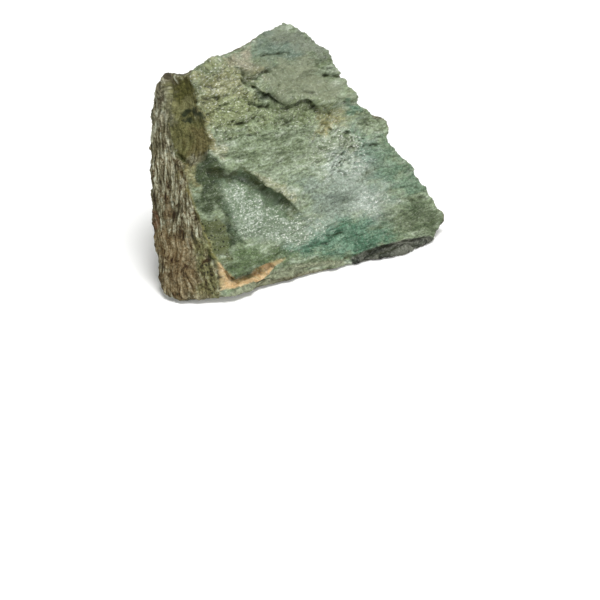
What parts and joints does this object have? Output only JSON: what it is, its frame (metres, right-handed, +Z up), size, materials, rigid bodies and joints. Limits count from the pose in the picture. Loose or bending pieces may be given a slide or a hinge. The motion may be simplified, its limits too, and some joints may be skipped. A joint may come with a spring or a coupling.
{
  "type": "nickel ore",
  "caption": "Hand-sized wedge of green foliated nickel ore with a silky cleavage face, a fibrous brown side and broken ledges.",
  "frame": {"origin": "centre of the bounding box's bottom, on the surface that the stone rests on", "axes": "+Z up from the resting patch, +X to the right along the stone's length, the green cleavage face towards -Y and +X"},
  "size_m": [0.091, 0.0728, 0.0706],
  "materials": {
    "ore": "satin"
  },
  "bodies": {
    "root": {"ore_stone": "ore"}
  },
  "joints": []
}
